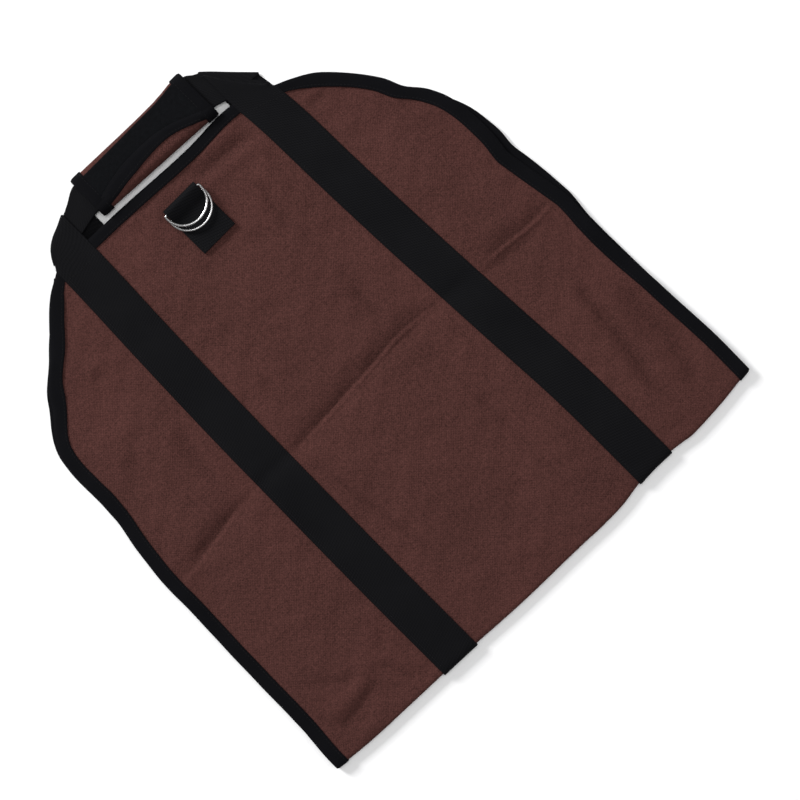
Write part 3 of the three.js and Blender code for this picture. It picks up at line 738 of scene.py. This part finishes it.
def freeCanvas(u, v, fromSide, fromTop):
    # 1 where the canvas lies bare, 0 under the straps, the tab and the bindings
    fade = canvasSizes["fade"]
    free = smoothStep(fromSide, canvasSizes["bound"], canvasSizes["bound"] + fade)
    free = free * smoothStep(fromTop, canvasSizes["topBound"], canvasSizes["topBound"] + fade)
    for grid in (leftStrapGrid, rightStrapGrid):
        places, low, high = frontEdges(grid)
        lowEdge = np.interp(v, places / mm, low / mm)
        highEdge = np.interp(v, places / mm, high / mm)
        outside = np.maximum(lowEdge - u, u - highEdge)
        free = free * smoothStep(outside, -1.0, 3.0)
    tabMiddle = ((tabBox[0][1] + tabBox[1][1]) / 2 - sheetMiddle.y) / mm
    halfWidth, halfLength = canvasSizes["tabCover"]
    outside = np.maximum(np.abs(u + tabOffset) - halfWidth, np.abs(v - tabMiddle) - halfLength)
    return free * smoothStep(outside, 0.0, fade)


def canvasSpacing(coarse):
    # fine rows on the front panel, finer ones by its main crease and coarse ones on the back
    height = coarse[..., 2].mean(axis=(1, 2))
    away = coarse[..., 1].mean(axis=(1, 2)) - sheetMiddle.y
    spacing = []
    for i in range(len(height) - 1):
        level = (height[i] + height[i + 1]) / 2
        place = (away[i] + away[i + 1]) / 2
        onFront = level > canvasSizes["frontFrom"]
        byCrease = onFront and abs(place - canvasSizes["creaseAt"]) < canvasSizes["creaseZone"]
        gap = canvasSizes["creaseSpacing"] if byCrease else canvasSizes["frontSpacing"]
        spacing.append(gap if onFront else canvasSizes["backSpacing"])
    return spacing


def makeCanvas():
    towards = (-1, 1, 30)
    spacing = canvasSpacing(gridOf("canvas", towards))
    grid, along, across = fineGrid("canvas", towards, spacing, canvasSizes["acrossSpacing"])
    middle = grid.mean(axis=2)
    u, v = (values / mm for values in fromSheet(middle))
    frontLength = along[np.argmin(middle[:, :, 1].mean(axis=1))]
    onFront = smoothStep((frontLength - along) / mm, *canvasSizes["foldFade"])[:, None]
    steps = np.linalg.norm(np.diff(middle, axis=1), axis=2)
    fromLeft = np.concatenate([np.zeros((len(grid), 1)), np.cumsum(steps, axis=1)], axis=1) / mm
    fromSide = np.minimum(fromLeft, fromLeft[:, -1:] - fromLeft)
    fromTop = along[:, None] / mm + np.zeros_like(u)
    free = freeCanvas(u, v, fromSide, fromTop) * onFront
    lift = canvasSizes["creaseDepth"] * sum(creaseLift(u, v, *crease) for crease in creases)
    # painted shade: where a crease sinks the bare cloth, its colour is darkened in proportion to the
    # depth
    crease_shade = np.clip(-lift * free, 0, 1.5) * canvasSizes["crease_shade"]
    lift = lift + canvasSizes["waves"] / mm * unevenness(u, v, 5, canvasSizes["waveLength"])
    grid = grid.copy()
    grid[:, :, :, 2] += (lift * free * mm)[:, :, None]
    nearLeft = 1 - smoothStep(fromLeft, *edgeWaves["reach"])
    nearRight = 1 - smoothStep(fromLeft[:, -1:] - fromLeft, *edgeWaves["reach"])
    shift = edgeShift(middle, "left") * nearLeft + edgeShift(middle, "right") * nearRight
    grid[:, :, :, 0] += shift[:, :, None]
    coordinates = np.stack([middle[:, :, 0], along[:, None] + np.zeros_like(u)], axis=2)
    piece = clothObject("canvas_sheet", grid, along, across, canvasFinish, coordinates)
    # the painted crease shade, stored on the outer side's points only
    crease_shade_attribute = piece.data.attributes.new("crease_shade", "FLOAT", "POINT")
    crease_shade_attribute.data.foreach_set("value", np.concatenate([crease_shade.ravel(), np.zeros(crease_shade.size)]))
    return piece


canvasSheet = makeCanvas()
print("canvas made:", len(canvasSheet.data.polygons), "faces")


# Bindings: tape folded over the edges

bindingSizes = {
    "alongSpacing": 4.0 * mm,
    "acrossSpacing": 1.6 * mm,
    "edge": 0.5 * mm,
    "waves": 0.22 * mm,  # unevenness of the long edges, and its longest wave in millimetres
    "waveLength": 140.0,
    "topStretch": 1.009,  # brings both ends of a top tape up to the straps
}
# the corner that each tape's grid starts from
bindingCorners = {
    "binding_left": (1, 1, 30),
    "binding_right": (-1, 1, 30),
    "binding_front_top": (-1, -1, 30),
    "binding_back_top": (-1, -1, -30),
    "grip_binding_left": (1, -1, 30),
    "grip_binding_right": (-1, -1, 30),
    "grip_flap_binding": (-1, 1, 30),
}

# the two front ends run on under the straps: how far they move, and over what length
bindingEnds = {
    "binding_left": ((6.5, 2.5, -1.2), 14.0),
    "binding_right": ((-5.0, 1.5, -1.2), 10.0),
}


# The flap's tape, in millimetres: how far it runs on at both ends, in steps of its grid, how much
# wider it is at places across, and how far it bends down at places in from the grip's round edge
flapSizes = {
    "before": 0.45,
    "after": (0.5, 1.0, 1.5, 2.0),
    "widerAt": (-47, -30, -12, 14, 30, 60),
    "wider": (4.2, 4.2, 4.6, 2.2, 0.6, 0.6),
    "bendAt": (0, 0.9, 3.4, 6.6),
    "bend": (6.6, 3.3, 0.9, 0.0),
}


def layBinding(nodeName, grid, along):
    # ends, uneven edges and the widened tape of the flap
    grid = grid.copy()
    if nodeName in bindingEnds:
        shift, length = bindingEnds[nodeName]
        share = 1 - smoothStep(along / mm, 0.0, length)
        grid += share[:, None, None, None] * np.array(shift) * mm
        waves = unevenness(along / mm, along * 0, len(nodeName), bindingSizes["waveLength"])
        grid[..., 0] += (bindingSizes["waves"] * waves * (1 - share))[:, None, None]
        grid[..., 0] += edgeShift(grid, nodeName.split("_")[1])
    elif nodeName in ("binding_front_top", "binding_back_top"):
        middle = (grid[..., 0].max() + grid[..., 0].min()) / 2
        grid[..., 0] = middle + (grid[..., 0] - middle) * bindingSizes["topStretch"]
    elif nodeName == "grip_flap_binding":
        grid = layFlapTape(grid)
    return grid


def layFlapTape(grid):
    # on to both end tapes, wider than in the frame and bent over the grip's round edge
    first = grid[:1] + (grid[:1] - grid[2:3]) * flapSizes["before"]
    steps = np.array(flapSizes["after"])[:, None, None, None]
    last = grid[-1:] + (grid[-1:] - grid[-3:-2]) * steps
    grid = np.concatenate([first, grid, last])
    u, v = (values / mm for values in fromSheet(grid))
    low = v.min(axis=(1, 2), keepdims=True)
    high = v.max(axis=(1, 2), keepdims=True)
    wider = np.interp(u, flapSizes["widerAt"], flapSizes["wider"])
    v = v - wider * (high - v) / (high - low)
    wrap = gridOf("grip_wrap", (-1, 1, 30))
    wrapU, wrapV = (values / mm for values in fromSheet(wrap))
    lowest = wrapV.min(axis=(0, 2))
    order = np.argsort(wrapU.mean(axis=(0, 2)))
    inside = v - np.interp(u, wrapU.mean(axis=(0, 2))[order], lowest[order])
    grid[..., 1] = v * mm + sheetMiddle.y
    grid[..., 2] -= np.interp(inside, flapSizes["bendAt"], flapSizes["bend"]) * mm
    return grid


def makeBinding(nodeName):
    grid, along, across = fineGrid(
        nodeName,
        bindingCorners[nodeName],
        bindingSizes["alongSpacing"],
        bindingSizes["acrossSpacing"],
        bindingSizes["edge"],
    )
    grid = layBinding(nodeName, grid, along)
    along = runOf(grid)
    piece = clothObject(nodeName + "_tape", grid, along, across, bindingFinish)
    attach(piece, "bag")
    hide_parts(nodeName)
    return piece, grid, across


bindings = {nodeName: makeBinding(nodeName) for nodeName in bindingCorners}
print("bindings made")

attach(canvasSheet, "bag")
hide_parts("canvas")


# Grip: a canvas wrap round both handles, with loop tape on the flap that is covered

gripSizes = {
    "flat": (0.13, 0.107),
    "spacing": 2.5 * mm,
    "loopEdge": 0.4 * mm,
    "loopStretch": 1.03,
    "loopRiseAt": (-50, -20, 20, 65),  # how far the loop tape's far edge rises at places across
    "loopRise": (0, 0.8, 2.2, 2.6),
    "dipAt": (-46, -25, 0, 20, 40, 52, 60),  # how far the grip's far edge sinks at places across
    "dip": (0, 0.6, 1.4, 1.8, 1.8, 1.0, 0),
    "dipReach": (508, 530),  # from the fold: where that starts and where it is full
}


def dipGrip(grid):
    # the grip's far edge sinks in a little between its ends
    u, v = (values / mm for values in fromSheet(grid))
    dip = np.interp(u, gripSizes["dipAt"], gripSizes["dip"])
    grid = grid.copy()
    grid[..., 1] -= dip * smoothStep(v, *gripSizes["dipReach"]) * mm
    return grid


def makeGrip():
    # the loop tape reaches under both end tapes and lies nearer the top on its right
    spacing = gripSizes["spacing"]
    edge = gripSizes["loopEdge"]
    grid, along, across = fineGrid("grip_wrap", (-1, 1, 30), spacing, spacing)
    grid = dipGrip(grid)
    wrap = clothObject("grip_canvas", grid, along, across, canvasFinish)
    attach(wrap, "bag")
    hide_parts("grip_wrap")
    grid, along, across = fineGrid("grip_loop_tape", (-1, 1, 30), spacing, spacing, edge, edge)
    middle = (grid[..., 0].max() + grid[..., 0].min()) / 2
    grid[..., 0] = middle + (grid[..., 0] - middle) * gripSizes["loopStretch"]
    share = smoothStep(grid[..., 1], grid[..., 1].min(), grid[..., 1].max())
    rise = np.interp(grid[..., 0] / mm, gripSizes["loopRiseAt"], gripSizes["loopRise"])
    grid[..., 1] += share * rise * mm
    grid = dipGrip(grid)
    tape = clothObject("grip_loops", grid, along, across, loopTapeFinish)
    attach(tape, "bag")
    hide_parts("grip_loop_tape")
    trims = [piece for name, (piece, *rest) in bindings.items() if name.startswith("grip")]
    trims + [tape]


makeGrip()
print("grip made")


# Tab and rings

tabSizes = {"flat": (0.0375, 0.1064), "spacing": 1.5 * mm, "edge": 0.8 * mm}
ringSizes = {"smoothing": 3, "swell": 0.16 * mm}


def makeTab():
    spacing = tabSizes["spacing"]
    grid, along, across = fineGrid("ring_tab", (-1, -1, 300), spacing, spacing, tabSizes["edge"])
    tab = clothObject("tab_webbing", grid, along, across, webbingFinish)
    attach(tab, "bag")
    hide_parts("ring_tab")
    return grid


tabGrid = makeTab()


def makeRing(nodeName, body):
    # the frame's ring, merged, rounded and brought back to the wire's thickness
    ring = mergedCopy(nodeName, nodeName + "_wire")
    rounding = ring.modifiers.new("round", "SUBSURF")
    rounding.levels = rounding.render_levels = ringSizes["smoothing"]
    bpy.ops.object.modifier_apply(modifier="round")
    bpy.ops.object.mode_set(mode="EDIT")
    bpy.ops.mesh.select_all(action="SELECT")
    bpy.ops.transform.shrink_fatten(value=ringSizes["swell"])
    bpy.ops.object.mode_set(mode="OBJECT")
    ring.data.materials.clear()
    ring.data.materials.append(steelFinish)
    smoothShade(ring, 60)
    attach(ring, body)
    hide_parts(nodeName)
    return ring


makeRing("ring_lower", "lower_ring")
makeRing("ring_upper", "upper_ring")
print("rings made")


# Seams: one stitch, repeated by an array and laid along each line of sewing by a curve

seamSizes = {
    "pitch": 3.2 * mm,
    "length": 2.4 * mm,
    "width": 0.5 * mm,
    "lowest": 0.3 * mm,  # of a stitch's middle above the ground
    "strapInset": 3.0 * mm,
    "tapeInset": 2.0 * mm,
    "strapTops": {"left": 475.0, "right": 462.0},  # where the strap leaves the panel, in millimetres
    "strapFrom": 7.0 * mm,  # where the rows on the straps start, from the fold
    "strapHeight": 8.5 * mm,  # the straps' cross seams lie above this height
    "box": ((-18.2, 13.8), (409.8, 426.0)),  # on the tab, across and away from the fold
    "boxSteps": 12,
}


def stitchAlong(points):
    # one row of stitches
    points = points.copy()
    points[:, 2] = np.maximum(points[:, 2], seamSizes["lowest"])
    path = bpy.data.curves.new("seam_path", "CURVE")
    path.dimensions = "3D"
    line = path.splines.new("POLY")
    line.points.add(len(points) - 1)
    weighted = np.concatenate([points, np.ones((len(points), 1))], axis=1)
    line.points.foreach_set("co", weighted.ravel())
    guide = bpy.data.objects.new("seam_path", path)
    bpy.context.collection.objects.link(guide)
    bpy.ops.object.select_all(action="DESELECT")
    bpy.ops.mesh.primitive_uv_sphere_add(segments=6, ring_count=4, radius=0.5, location=(0, 0, 0))
    seam = bpy.context.active_object
    bpy.ops.object.mode_set(mode="EDIT")
    bpy.ops.mesh.select_all(action="SELECT")
    bpy.ops.transform.resize(value=(seamSizes["length"], seamSizes["width"], seamSizes["width"]))
    bpy.ops.transform.translate(value=(seamSizes["pitch"] / 2, 0, 0))
    bpy.ops.object.mode_set(mode="OBJECT")
    repeat = seam.modifiers.new("repeat", "ARRAY")
    repeat.fit_type = "FIT_CURVE"
    repeat.curve = guide
    repeat.use_relative_offset = False
    repeat.use_constant_offset = True
    repeat.constant_offset_displace = (seamSizes["pitch"], 0, 0)
    bend = seam.modifiers.new("bend", "CURVE")
    bend.object = guide
    bpy.ops.object.modifier_apply(modifier="repeat")
    bpy.ops.object.modifier_apply(modifier="bend")
    bpy.data.objects.remove(guide)
    bpy.data.curves.remove(path)
    return seam


def sew(name, lines):
    # all rows of one kind as one piece
    seams = [stitchAlong(line) for line in lines]
    bpy.ops.object.select_all(action="DESELECT")
    for seam in seams:
        seam.select_set(True)
    bpy.context.view_layer.objects.active = seams[0]
    bpy.ops.object.join()
    joined = bpy.context.active_object
    joined.name = name
    joined.data.materials.clear()
    joined.data.materials.append(threadFinish)
    smoothShade(joined, 80)
    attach(joined, "bag")
    print(name, len(joined.data.polygons), "faces")


def lineAt(grid, across, place, side=0):
    # the line along one side at one place across, counted from the far edge if negative
    place = place if place >= 0 else across[-1] + place
    index = min(np.searchsorted(across, place), len(across) - 1)
    share = (place - across[index - 1]) / (across[index] - across[index - 1])
    return grid[:, index - 1, side] * (1 - share) + grid[:, index, side] * share


def strapSeams():
    # along both edges of each strap on each panel, across its end and round the tab's lower part
    lines = []
    for side, grid in (("left", leftStrapGrid), ("right", rightStrapGrid)):
        top = seamSizes["strapTops"][side] * mm
        for place in (seamSizes["strapInset"], -seamSizes["strapInset"]):
            line = lineAt(grid, strapAcross, place, 1)
            away = line[:, 1] - sheetMiddle.y
            onPanel = (away > seamSizes["strapFrom"]) & (away < top)
            onFront = line[:, 2] > strapSizes["frontFrom"]
            lines.append(line[onPanel & onFront])
            lines.append(line[onPanel & ~onFront])
        middle = grid[:, grid.shape[1] // 2, 1]
        away = middle[:, 1] - sheetMiddle.y
        row = np.argmin(np.abs(away - top) + (middle[:, 2] < seamSizes["strapHeight"]))
        lines.append(grid[row, 2:-2, 1])
    top = tabGrid[: np.argmax(tabGrid[:, 0, 0, 1]) + 1, tabGrid.shape[1] // 2, 0]
    (left, right), (low, high) = seamSizes["box"]
    corners = [(left, low), (right, low), (right, high), (left, high), (left, low)]
    for (u1, v1), (u2, v2) in zip(corners[:-1], corners[1:]):
        share = np.linspace(0, 1, seamSizes["boxSteps"])
        x = sheetMiddle.x + (u1 + (u2 - u1) * share) * mm
        y = sheetMiddle.y + (v1 + (v2 - v1) * share) * mm
        z = np.interp(y, top[:, 1], top[:, 2])
        lines.append(np.stack([x, y, z], axis=1))
    return lines


def tapeSeams():
    # along the inner edges of each tape, on both faces of the sheet
    lines = []
    for nodeName, (piece, grid, across) in bindings.items():
        lines.append(lineAt(grid, across, seamSizes["tapeInset"])[2:-2])
        if not nodeName.startswith("grip"):
            lines.append(lineAt(grid, across, -seamSizes["tapeInset"])[2:-2])
    return lines


sew("strap_stitches", strapSeams())
sew("tape_stitches", tapeSeams())


# Floor, light and camera

studio = {
    "cameraHeight": 2.0,
    "viewWidth": 0.6988,  # of the floor that the picture spans
    "viewCentre": (9.3 * mm, 197.0 * mm),  # across and from the fold
    "turn": -45,  # of the picture, in degrees
    "sensor": 36.0,
    "floorSize": 8.0,
    "floorDark": colour(250, 250, 250),
    "floorLight": colour(248, 248, 249),
    "world": 0.36,
    "lamps": {  # place, size and power
        "key": ((-0.9, 3.6, 1.9), 1.2, 190.0),
        "fill": ((1.5, -1.2, 2.2), 2.0, 10.0),
        "overhead": ((0.2, 0.3, 3.2), 1.4, 34.0),
    },
}


def makeFloor():
    bpy.ops.mesh.primitive_plane_add(size=studio["floorSize"], location=(0, 0, 0))
    floor = bpy.context.active_object
    floor.name = "floor"
    paper = Finish("floor_paper")
    grain = paper.noise(paper.objectPlace(), 40.0)
    tone = paper.shade(studio["floorDark"], studio["floorLight"], grain)
    floor.data.materials.append(paper.surface(Base_Color=tone, Roughness=0.95))


def makeLight():
    world = bpy.data.worlds.new("studio")
    scene.world = world
    world.use_nodes = True
    background = world.node_tree.nodes["Background"]
    background.inputs[0].default_value = (1.0, 1.0, 1.0, 1.0)
    background.inputs[1].default_value = studio["world"]
    for name, (place, size, power) in studio["lamps"].items():
        bpy.ops.object.light_add(type="AREA", location=place)
        lamp = bpy.context.active_object
        lamp.name = name
        lamp.data.size = size
        lamp.data.energy = power
        lamp.rotation_euler = (Vector((0, 0, 0)) - Vector(place)).to_track_quat("-Z", "Y").to_euler()


def makeCamera():
    bpy.ops.object.camera_add(
        location=(
            sheetMiddle.x + studio["viewCentre"][0],
            sheetMiddle.y + studio["viewCentre"][1],
            studio["cameraHeight"],
        ),
        rotation=(0, 0, math.radians(studio["turn"])),
    )
    camera = bpy.context.active_object
    camera.data.sensor_width = studio["sensor"]
    camera.data.lens = studio["sensor"] * studio["cameraHeight"] / studio["viewWidth"]
    camera.data.clip_end = 20.0
    scene.camera = camera


makeFloor()
makeLight()
makeCamera()
print("studio made")
